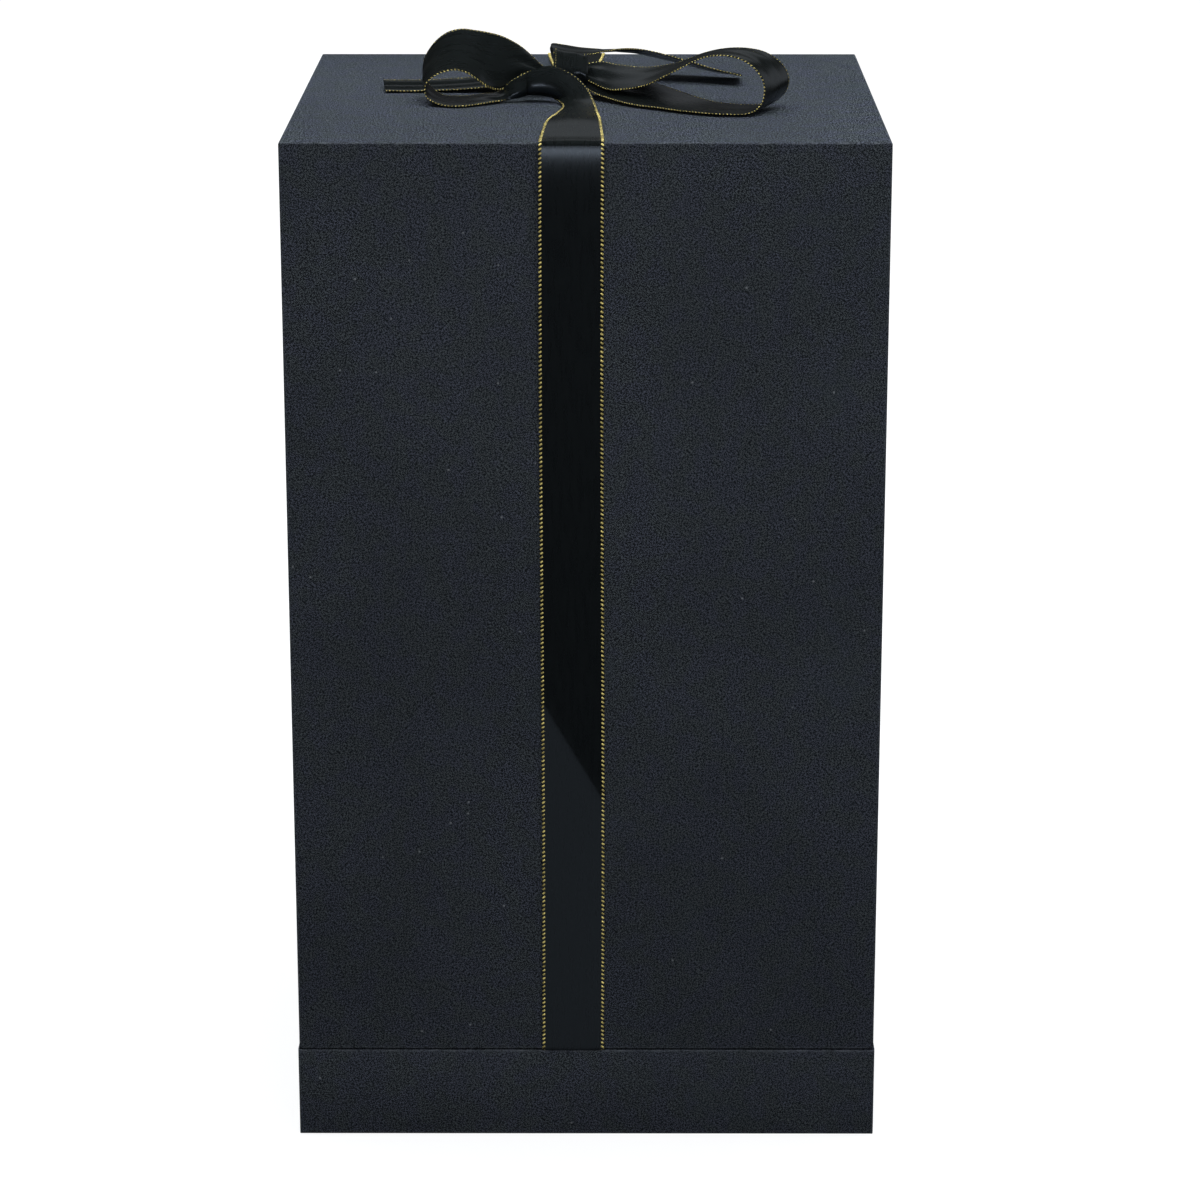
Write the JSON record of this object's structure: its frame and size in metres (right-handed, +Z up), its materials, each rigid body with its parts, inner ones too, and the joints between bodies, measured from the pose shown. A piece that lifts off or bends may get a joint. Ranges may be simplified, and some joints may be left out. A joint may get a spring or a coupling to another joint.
{
  "type": "gift box",
  "caption": "Tall square rigid gift box with a deep lift-off cover over a shallow tray, tied with a gold-edged satin ribbon and bow.",
  "frame": {"origin": "on the floor under the middle of the box", "axes": "+Z up, the cover's lift direction; the front with the straight ribbon faces -Y; +X to the right seen from the front"},
  "size_m": [0.241, 0.2416, 0.4491],
  "materials": {
    "black_book_paper": "black textured covering paper, matt",
    "greyboard": "raw grey recycled board",
    "kraft_tape": "brown kraft paper tape",
    "lining_paper": "smooth black lining paper, matt",
    "satin_ribbon": "black satin",
    "gold_cord": "twisted metallic gold thread"
  },
  "bodies": {
    "base": {"tray_bottom_board": "greyboard", "tray_front_board": "greyboard", "tray_back_board": "greyboard", "tray_left_board": "greyboard", "tray_right_board": "greyboard", "tray_corner_stays": "kraft_tape", "tray_wrap": "black_book_paper", "tray_underside_sheet": "lining_paper", "neck_front_board": "greyboard", "neck_back_board": "greyboard", "neck_left_board": "greyboard", "neck_right_board": "greyboard", "neck_wrap": "lining_paper", "neck_lining": "lining_paper", "floor_pad_board": "greyboard", "floor_pad_paper": "lining_paper"},
    "cover": {"cover_top_board": "greyboard", "cover_front_board": "greyboard", "cover_back_board": "greyboard", "cover_left_board": "greyboard", "cover_right_board": "greyboard", "cover_corner_stays": "kraft_tape", "cover_wrap": "black_book_paper", "cover_wall_liner": "lining_paper", "cover_top_liner": "lining_paper", "bow_knot": "satin_ribbon", "ribbon_front_band": "satin_ribbon", "ribbon_front_band_gold_edges": "gold_cord", "ribbon_back_band": "satin_ribbon", "ribbon_back_band_gold_edges": "gold_cord", "bow_left_loop": "satin_ribbon", "bow_left_loop_gold_edges": "gold_cord", "bow_right_loop": "satin_ribbon", "bow_right_loop_gold_edges": "gold_cord", "bow_left_tail": "satin_ribbon", "bow_left_tail_gold_edges": "gold_cord", "bow_right_tail": "satin_ribbon", "bow_right_tail_gold_edges": "gold_cord"}
  },
  "joints": [
    {"name": "cover_lift", "type": "slide", "parent": "base", "child": "cover", "axis": [0, 0, 1], "range_m": [0, 0.4]}
  ]
}
